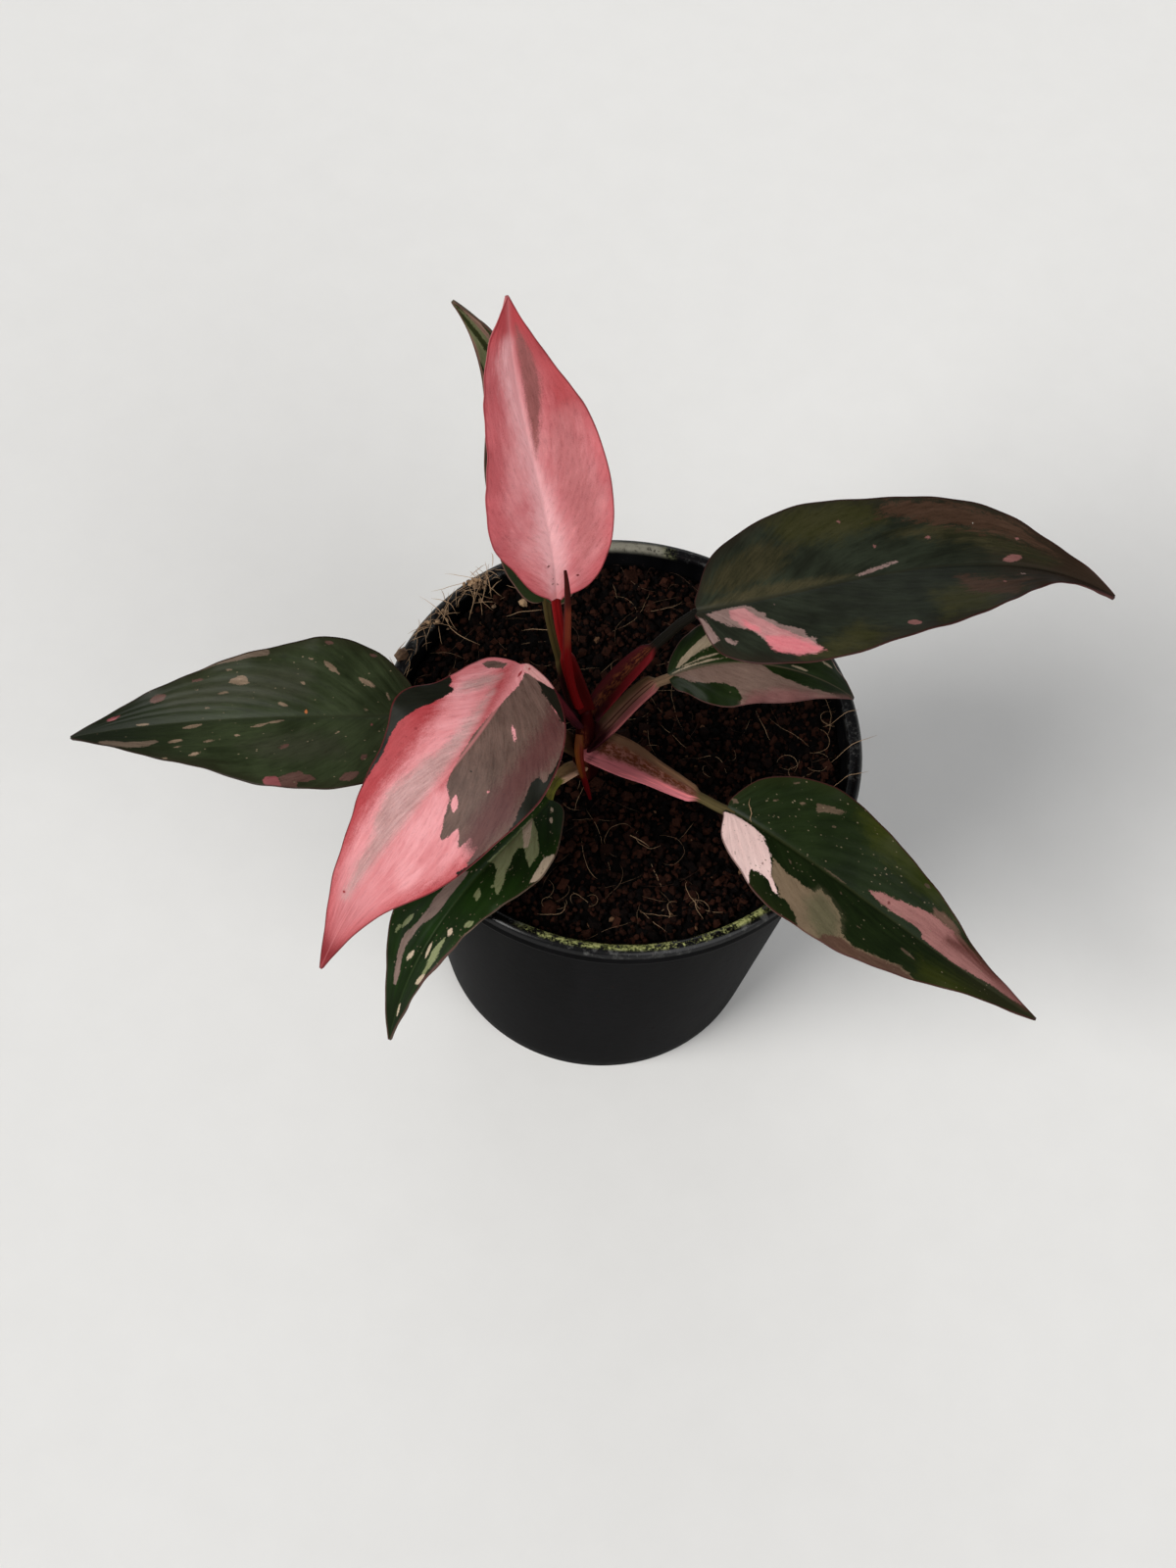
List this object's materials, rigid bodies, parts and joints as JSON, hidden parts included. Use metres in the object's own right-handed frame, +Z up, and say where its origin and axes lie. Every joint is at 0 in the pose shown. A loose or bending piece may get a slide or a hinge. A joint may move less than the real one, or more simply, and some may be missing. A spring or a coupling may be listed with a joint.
{
  "type": "pink princess philodendron",
  "caption": "Young pink-and-green variegated philodendron with heart-tapered leaves on red stalks, growing in a round black nursery pot of bark mix.",
  "frame": {"origin": "middle of the flat pad under the pot, on the surface it stands on", "axes": "+Z up; -Y towards the side where the front leaves hang over the rim; +X towards the large dark leaf"},
  "size_m": [0.2633, 0.1472, 0.2701],
  "materials": {
    "pot_plastic": "thin black moulded nursery plastic, satin, worn grey with lime-green algae along the rim",
    "potting_mix": "loose dark coir and bark chips with pale fibres, rough and dry",
    "red_stalk": "smooth waxy dark red stalk",
    "pink_stalk": "smooth waxy stalk, pink with olive and brown streaks",
    "olive_stalk": "smooth waxy olive to tan stalk",
    "dry_sheath": "papery dried sheath leaf, orange brown to dark red",
    "pink_leaf": "waxy leaf, coral to salmon pink with pale vein streaks and grey-green sectors",
    "dark_leaf": "glossy blackish-green leaf with pink and cream flecks",
    "green_leaf": "glossy green leaf with cream, mint and pink patches and flecks"
  },
  "bodies": {
    "root": {"pot": "pot_plastic", "soil": "potting_mix", "stem": "red_stalk", "leaf_upright_pink_blade": "pink_leaf", "leaf_upright_pink_petiole": "red_stalk", "leaf_right_dark_blade": "dark_leaf", "leaf_right_dark_petiole": "red_stalk", "leaf_front_pink_blade": "pink_leaf", "leaf_front_pink_petiole": "red_stalk", "leaf_back_blade": "green_leaf", "leaf_back_petiole": "olive_stalk", "leaf_right_small_blade": "green_leaf", "leaf_right_small_petiole": "pink_stalk", "leaf_lower_right_blade": "green_leaf", "leaf_lower_right_petiole": "pink_stalk", "leaf_left_blade": "dark_leaf", "leaf_left_petiole": "olive_stalk", "leaf_lower_front_blade": "green_leaf", "leaf_lower_front_petiole": "olive_stalk", "cataphyll_new": "red_stalk", "cataphyll_dry": "dry_sheath"}
  },
  "joints": []
}
